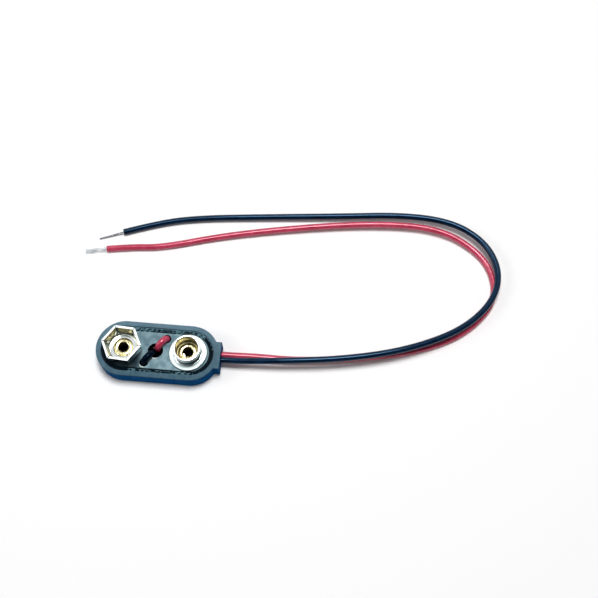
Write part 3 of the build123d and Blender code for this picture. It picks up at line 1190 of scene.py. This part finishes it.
@dataclass
class Eyelet:
    """A rolled rivet: its head curls over from the bore and is slit into petals."""

    name: str
    stands_for: str
    centre_x_mm: float
    seat_mm: float
    bore_mm: float = 1.0
    barrel_mm: float = 1.24
    head_mm: float = 1.94
    crest_mm: float = 0.24
    rim_mm: float = 0.1
    tail_mm: float = 1.78
    tail_under_mm: float = 2.4
    plate_under_mm: float = 2.75
    gap_mm: float = 0.005
    petals: int = 8
    slit_mm: float = 0.14
    slit_flare: float = 1.5
    crest_inwards: float = 0.8
    crest_fullness: float = 0.7
    rim_fall: float = 0.5
    steps_per_petal: int = 20
    steps_across: int = 12

    def head(self, slit: float) -> list[tuple[float, float]]:
        """Shapes the curl over the bore.

        Args:
            slit: 1 in the middle of a slit between petals, 0 on a petal.

        Returns:
            Its radii and heights, in millimetres.
        """
        outline = []
        for step in range(self.steps_across + 1):
            share = step / self.steps_across
            radius = self.bore_mm + share * (self.head_mm - self.bore_mm)
            arch = math.sin(math.pi * share**self.crest_inwards) ** self.crest_fullness
            height = self.rim_mm * (1 - self.rim_fall * share) + arch * (self.crest_mm - self.rim_mm)
            if radius > self.barrel_mm:
                height += slit * (2 * self.gap_mm - height)
            outline.append((radius, self.seat_mm + height))
        return outline

    def build(self, material: Material) -> None:
        """Builds the eyelet in place of its plain solid.

        Args:
            material: What its surface gets.
        """
        foot = self.plate_under_mm - self.gap_mm
        below = [
            (self.head_mm, self.seat_mm + self.gap_mm),
            (self.barrel_mm, self.seat_mm + self.gap_mm),
            (self.barrel_mm, foot),
            (self.tail_mm, foot),
            (self.tail_mm, self.tail_under_mm + self.rim_mm),
            (self.tail_mm - self.rim_mm, self.tail_under_mm),
            (self.bore_mm, self.tail_under_mm),
        ]
        count = self.petals * self.steps_per_petal
        middle = (self.barrel_mm + self.head_mm) / 2
        rings = []
        for step in range(count):
            angle = 2 * math.pi * step / count
            off = (angle * self.petals / (2 * math.pi) + 0.5) % 1 - 0.5
            across = abs(off) * 2 * math.pi / self.petals * middle
            slit = min(1.0, max(0.0, self.slit_flare - across / (self.slit_mm / 2)))
            ring = []
            for radius, height in self.head(slit) + below:
                x = self.centre_x_mm + radius * math.cos(angle)
                ring.append(Vector((x, radius * math.sin(angle), height)) * MM)
            rings.append(ring)
        eyelet = add_piece(self.name, closed_rings(self.name, rings, True), material)
        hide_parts(self.stands_for)


@dataclass
class Terminals:
    """The socket, the stud, the eyelets that rivet them down and the solder under the eyelets."""

    socket_plating: TerminalPlating = TerminalPlating(
        name="socket_shell_plating", centre_x_mm=SOCKET_X_MM, inside_hex="#ACAC98", top_mm=6.52
    )
    stud_plating: StudPlating = StudPlating(name="stud_shell_plating", centre_x_mm=STUD_X_MM)
    eyelets: tuple[Eyelet, ...] = (
        Eyelet("socket_eyelet", "socket_rivet", SOCKET_X_MM, seat_mm=3.9),
        Eyelet("stud_eyelet", "stud_rivet", STUD_X_MM, seat_mm=3.95),
    )
    solders: tuple[str, ...] = ("socket_solder", "stud_solder")

    def dress(self) -> None:
        """Dresses the terminals' shells and solder."""
        dress_node("socket_shell", self.socket_plating.material())
        dress_node("stud_shell", self.stud_plating.material())
        solder = SOLDER.material()
        for name in self.solders:
            dress_node(name, solder)

    def build(self) -> None:
        """Builds the rolled eyelets."""
        brass = BRASS.material()
        for eyelet in self.eyelets:
            eyelet.build(brass)


@dataclass
class Strands:
    """The bare end of a lead: seven tinned strands in a loose twist."""

    name: str
    foot_mm: Point
    tip_mm: Point
    pitch_mm: float
    spread: float
    opening: float = 2.0
    finish: PlatedSheetMetal = TINNED
    strand_mm: float = 0.1
    gap_mm: float = 0.006
    around_core: int = 6
    steps: int = 40
    buried_mm: float = 0.3

    def build(self) -> Object:
        """Builds the strands as one curve object with a spline each.

        Returns:
            The strands.
        """
        foot, tip = Vector(self.foot_mm), Vector(self.tip_mm)
        along = (tip - foot).normalized()
        side = Vector((0, 0, 1)).cross(along).normalized()
        rise = along.cross(side)
        length = (tip - foot).length + self.buried_mm
        start = foot - along * self.buried_mm
        curve = bpy.data.curves.new(self.name, "CURVE")
        curve.dimensions = "3D"
        curve.bevel_depth = self.strand_mm / 2 * MM
        curve.bevel_resolution = 2
        curve.use_fill_caps = True
        for strand in range(self.around_core + 1):
            ring = 0.0 if strand == self.around_core else self.strand_mm + self.gap_mm
            spline = curve.splines.new("POLY")
            spline.points.add(self.steps)
            for step in range(self.steps + 1):
                share = step / self.steps
                fanned = ring * (1 + (self.spread - 1) * share**self.opening)
                turn = 2 * math.pi * (strand / self.around_core + share * length / self.pitch_mm)
                middle = start + along * length * share
                offset = side * fanned * math.cos(turn) + rise * ring * math.sin(turn)
                spline.points[step].co = (*((middle + offset) * MM), 1.0)
        return add_piece(self.name, curve, self.finish.material())


@dataclass
class Lead:
    """One lead: its free cord, its bare end and the stretch that the casing holds."""

    colour: str
    route_mm: list[Point]
    length_mm: float
    finish: WireVinyl
    held_finish: WireVinyl
    slot: Slot
    strands: Strands
    diameter_mm: float = 1.3

    def dress(self, tinned: Material) -> None:
        """Dresses the stretch inside the casing and its stripped end.

        Args:
            tinned: The material of the stripped end.
        """
        dress_node(f"{self.colour}_lead_anchor", self.held_finish.material())
        dress_node(f"{self.colour}_inner_conductor", tinned)

    def build(self, tinned: Material) -> None:
        """Builds the cord along its route, with the strands at its end.

        Args:
            tinned: The material of the stripped end inside the casing.
        """
        vinyl = self.finish.material()
        self.dress(tinned)
        points = metres(self.route_mm)
        name = f"{self.colour}_cord"
        curve = bpy.data.curves.new(name, "CURVE")
        curve.dimensions = "3D"
        curve.bevel_depth = self.diameter_mm / 2 * MM
        curve.bevel_resolution = 5
        curve.resolution_u = 16
        curve.use_fill_caps = True
        spline = curve.splines.new("NURBS")
        spline.points.add(len(points) - 1)
        for control, point in zip(spline.points, points):
            control.co = (*point, 1.0)
        spline.order_u = 3
        spline.use_endpoint_u = True
        cord = add_piece(name, curve, vinyl)
        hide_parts(f"{self.colour}_lead")
        end = self.strands.build()
        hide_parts(f"{self.colour}_conductor_end")


# The routes of the solids, moved a little to follow the photograph
RED_ROUTE: list[Point] = [
    (11.85, 0.91, 1.40),
    (14.3, 0.91, 1.40),
    (19.1, 1.15, 1.25),
    (26.4, 1.15, 0.85),
    (35.9, 2.2, 0.72),
    (45.0, 3.72, 0.68),
    (53.0, 6.02, 0.66),
    (59.75, 9.5, 0.66),
    (64.6, 14.65, 0.66),
    (66.15, 18.85, 0.66),
    (65.75, 22.55, 0.66),
    (64.15, 26.0, 0.72),
    (61.1, 28.85, 0.9),
    (56.6, 31.4, 1.2),
    (49.7, 32.75, 1.4),
    (38.0, 32.15, 1.4),
    (24.0, 30.1, 1.1),
    (9.5, 27.3, 0.75),
    (-3.0, 23.6, 0.66),
    (-9.5, 23.15, 0.66),
    (-14.35, 22.3, 0.66),
]
BLACK_ROUTE: list[Point] = [
    (11.85, -0.40, 2.08),
    (14.3, -0.40, 2.08),
    (18.6, -0.2, 2.4),
    (25.6, 0.24, 3.0),
    (35.2, 1.34, 3.15),
    (44.7, 3.33, 3.15),
    (52.6, 6.2, 2.9),
    (59.3, 9.92, 2.45),
    (64.4, 15.0, 2.05),
    (66.75, 20.3, 2.0),
    (66.2, 25.6, 2.12),
    (63.0, 30.4, 2.05),
    (56.8, 34.0, 1.8),
    (47.0, 34.95, 1.5),
    (33.0, 33.6, 1.25),
    (17.0, 32.25, 0.95),
    (3.0, 30.87, 0.76),
    (-5.0, 28.95, 0.66),
    (-11.5, 26.45, 0.66),
]


@dataclass
class Wiring:
    """Both leads."""

    red: Lead = field(
        default_factory=lambda: Lead(
            colour="red",
            route_mm=RED_ROUTE,
            length_mm=149.9,
            finish=RED_VINYL,
            held_finish=RED_HELD,
            slot=Slot.RED,
            strands=Strands(
                name="red_strands",
                foot_mm=RED_ROUTE[-1],
                tip_mm=(-18.85, 21.5, 0.24),
                pitch_mm=26.0,
                spread=4.8,
                opening=0.15,
                strand_mm=0.085,
            ),
        )
    )
    black: Lead = field(
        default_factory=lambda: Lead(
            colour="black",
            route_mm=BLACK_ROUTE,
            length_mm=149.7,
            finish=BLACK_VINYL,
            held_finish=BLACK_HELD,
            slot=Slot.BLACK,
            strands=Strands(
                name="black_strands",
                foot_mm=BLACK_ROUTE[-1],
                tip_mm=(-16.4, 24.7, 0.2),
                pitch_mm=2.4,
                spread=1.0,
                finish=DULL_TINNED,
            ),
        )
    )

    def build(self) -> None:
        """Builds both leads."""
        tinned = replace(TINNED, name="tinned_copper_inner_end").material()
        for lead in (self.red, self.black):
            lead.build(tinned)


@dataclass
class Viewpoint:
    """Where the photograph was taken from, and its lens."""

    position_mm: Point = (32.30, -55.30, 170.05)
    target_mm: Point = (26.41, 14.66, 0.0)
    right: Point = (0.99647, 0.08393, 0.0)
    focal_px: float = 900.0
    image_px: float = 598.0
    sensor_mm: float = 36.0
    nearest_mm: float = 10.0

    def build(self) -> None:
        """Makes the scene's camera."""
        data = bpy.data.cameras.new("viewpoint")
        data.sensor_width = self.sensor_mm
        data.lens = self.focal_px * self.sensor_mm / self.image_px
        data.clip_start = self.nearest_mm * MM
        camera = bpy.data.objects.new("viewpoint", data)
        bpy.context.scene.collection.objects.link(camera)
        back = (Vector(self.position_mm) - Vector(self.target_mm)).normalized()
        right = Vector(self.right).normalized()
        up = back.cross(right)
        turn = Matrix((right, up, back)).transposed().to_4x4()
        camera.matrix_world = Matrix.Translation(Vector(self.position_mm) * MM) @ turn
        bpy.context.scene.camera = camera


@dataclass
class SoftLight:
    """One soft lamp: a square panel that faces the part."""

    name: str
    position_mm: Point
    size_mm: float
    power: float

    def build(self, target_mm: Point) -> None:
        """Makes the lamp.

        Args:
            target_mm: The point that it faces.
        """
        data = bpy.data.lights.new(self.name, "AREA")
        data.shape = "SQUARE"
        data.size = self.size_mm * MM
        data.energy = self.power
        lamp = bpy.data.objects.new(self.name, data)
        bpy.context.scene.collection.objects.link(lamp)
        away = Vector(self.position_mm) - Vector(target_mm)
        turn = away.to_track_quat("Z", "Y").to_matrix().to_4x4()
        lamp.matrix_world = Matrix.Translation(Vector(self.position_mm) * MM) @ turn


@dataclass
class Studio:
    """The white table, the white surroundings and the lamps."""

    floor_half_mm: float = 1500.0
    floor_lift: float = 0.04
    pool_mm: float = 90.0
    beyond_pool_mm: float = 320.0
    ambient: float = 0.12
    white_side: Point = (-0.35, 0.94, 0.0)
    dim_from: float = -0.32
    white_from: float = 0.0
    dim_room_hex: str = "#344C54"
    target_mm: Point = (26.0, 12.0, 0.0)
    lamps: tuple[SoftLight, ...] = (
        SoftLight("overhead_softbox", (38.0, 90.0, 500.0), size_mm=175.0, power=2.05),
        SoftLight("left_softbox", (-370.0, -60.0, 330.0), size_mm=170.0, power=0.42),
    )

    def rays_that_see_white(self, tree: NodeTree) -> NodeSocket:
        """Sorts out the rays that see white instead of the studio's own light.

        Args:
            tree: The node tree of the table or of the world.

        Returns:
            1 for camera, glossy and transmission rays, and 0 for the rest.
        """
        path = add_node(tree, "ShaderNodeLightPath")
        some = add_node(
            tree,
            "ShaderNodeMath",
            {"operation": "MAXIMUM"},
            {0: path.outputs["Is Camera Ray"], 1: path.outputs["Is Glossy Ray"]},
        )
        return add_node(
            tree,
            "ShaderNodeMath",
            {"operation": "MAXIMUM"},
            {0: some.outputs["Value"], 1: path.outputs["Is Transmission Ray"]},
        ).outputs["Value"]

    def build_floor(self) -> None:
        """Makes the table: pale and matte, lifted to white for the rays that see it."""
        half = self.floor_half_mm * MM
        mesh = bpy.data.meshes.new("table_top")
        corners = [(-half, -half, 0), (half, -half, 0), (half, half, 0), (-half, half, 0)]
        mesh.from_pydata(corners, [], [(0, 1, 2, 3)])
        floor = bpy.data.objects.new("table_top", mesh)
        bpy.context.scene.collection.objects.link(floor)
        material = bpy.data.materials.new("white_table")
        material.use_nodes = True
        tree = material.node_tree
        tree.nodes.clear()
        matte = add_node(tree, "ShaderNodeBsdfDiffuse", inputs={"Color": linear(WHITE_HEX)})
        lift = add_node(
            tree,
            "ShaderNodeMath",
            {"operation": "MULTIPLY"},
            {0: self.rays_that_see_white(tree), 1: self.floor_lift},
        )
        glow = add_node(tree, "ShaderNodeEmission", inputs={"Strength": lift.outputs["Value"]})
        near_part = add_node(tree, "ShaderNodeAddShader", inputs={0: matte.outputs[0], 1: glow.outputs[0]})
        # Past the lamps' pool of light the table goes on as white as the surroundings
        spot = add_node(tree, "ShaderNodeTexCoord").outputs["Object"]
        distance = add_node(
            tree,
            "ShaderNodeVectorMath",
            {"operation": "DISTANCE"},
            {0: spot, 1: tuple(share * MM for share in self.target_mm)},
        ).outputs["Value"]
        beyond = add_node(
            tree,
            "ShaderNodeMapRange",
            SMOOTH_STEP,
            {"Value": distance, "From Min": self.pool_mm * MM, "From Max": self.beyond_pool_mm * MM},
        ).outputs["Result"]
        whitened = add_node(
            tree,
            "ShaderNodeMath",
            {"operation": "MULTIPLY"},
            {0: beyond, 1: self.rays_that_see_white(tree)},
        ).outputs["Value"]
        white = add_node(tree, "ShaderNodeEmission", inputs={"Strength": 1.0})
        both = add_node(
            tree, "ShaderNodeMixShader", inputs={0: whitened, 1: near_part.outputs[0], 2: white.outputs[0]}
        )
        add_node(tree, "ShaderNodeOutputMaterial", inputs={"Surface": both.outputs[0]})
        mesh.materials.append(material)

    def build_surroundings(self) -> None:
        """Makes the world: white to look at, a plain soft light for the part, and a studio to mirror."""
        world = bpy.data.worlds.new("white_surroundings")
        bpy.context.scene.world = world
        world.use_nodes = True
        tree = world.node_tree
        tree.nodes.clear()
        path = add_node(tree, "ShaderNodeLightPath")
        # Metal mirrors the white walls above, behind and to the left, and the dim room in front
        direction = add_node(tree, "ShaderNodeTexCoord").outputs["Generated"]
        towards_white = add_node(
            tree, "ShaderNodeVectorMath", {"operation": "DOT_PRODUCT"}, {0: direction, 1: self.white_side}
        )
        wall = add_node(
            tree,
            "ShaderNodeMapRange",
            SMOOTH_STEP,
            {
                "Value": towards_white.outputs["Value"],
                "From Min": self.dim_from,
                "From Max": self.white_from,
            },
        ).outputs["Result"]
        looked_at = add_node(
            tree,
            "ShaderNodeMath",
            {"operation": "MAXIMUM"},
            {0: wall, 1: path.outputs["Is Camera Ray"]},
        ).outputs["Value"]
        colour = add_node(
            tree,
            "ShaderNodeMix",
            COLOUR_MIX,
            {SHARE: looked_at, COLOUR_A: linear(self.dim_room_hex), COLOUR_B: linear(WHITE_HEX)},
        ).outputs[COLOUR_OUT]
        lit = add_node(
            tree,
            "ShaderNodeMix",
            COLOUR_MIX,
            {
                SHARE: self.rays_that_see_white(tree),
                COLOUR_A: (self.ambient, self.ambient, self.ambient, 1.0),
                COLOUR_B: colour,
            },
        ).outputs[COLOUR_OUT]
        glow = add_node(tree, "ShaderNodeBackground", inputs={"Color": lit, "Strength": 1.0})
        add_node(tree, "ShaderNodeOutputWorld", inputs={"Surface": glow.outputs[0]})

    def build(self) -> None:
        """Makes the table, the surroundings and the lamps."""
        self.build_floor()
        self.build_surroundings()
        for lamp in self.lamps:
            lamp.build(self.target_mm)


def clear_startup_objects() -> None:
    """Removes what the empty file brings along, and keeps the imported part."""
    kept = set(frame["nodes"].values()) | set(frame["bodies"].values())
    for thing in list(bpy.context.scene.objects):
        if thing not in kept:
            bpy.data.objects.remove(thing)


def main() -> None:
    """Builds the classes in order."""
    logging.basicConfig(level=logging.INFO, format="%(name)s: %(message)s")
    clear_startup_objects()
    bpy.context.scene.view_settings.view_transform = "Standard"
    Viewpoint().build()
    Studio().build()
    shell = Shell()
    shell.dress()
    shell.build()
    terminals = Terminals()
    terminals.dress()
    terminals.build()
    Wiring().build()
    bpy.context.view_layer.update()


if __name__ == "__main__":
    main()
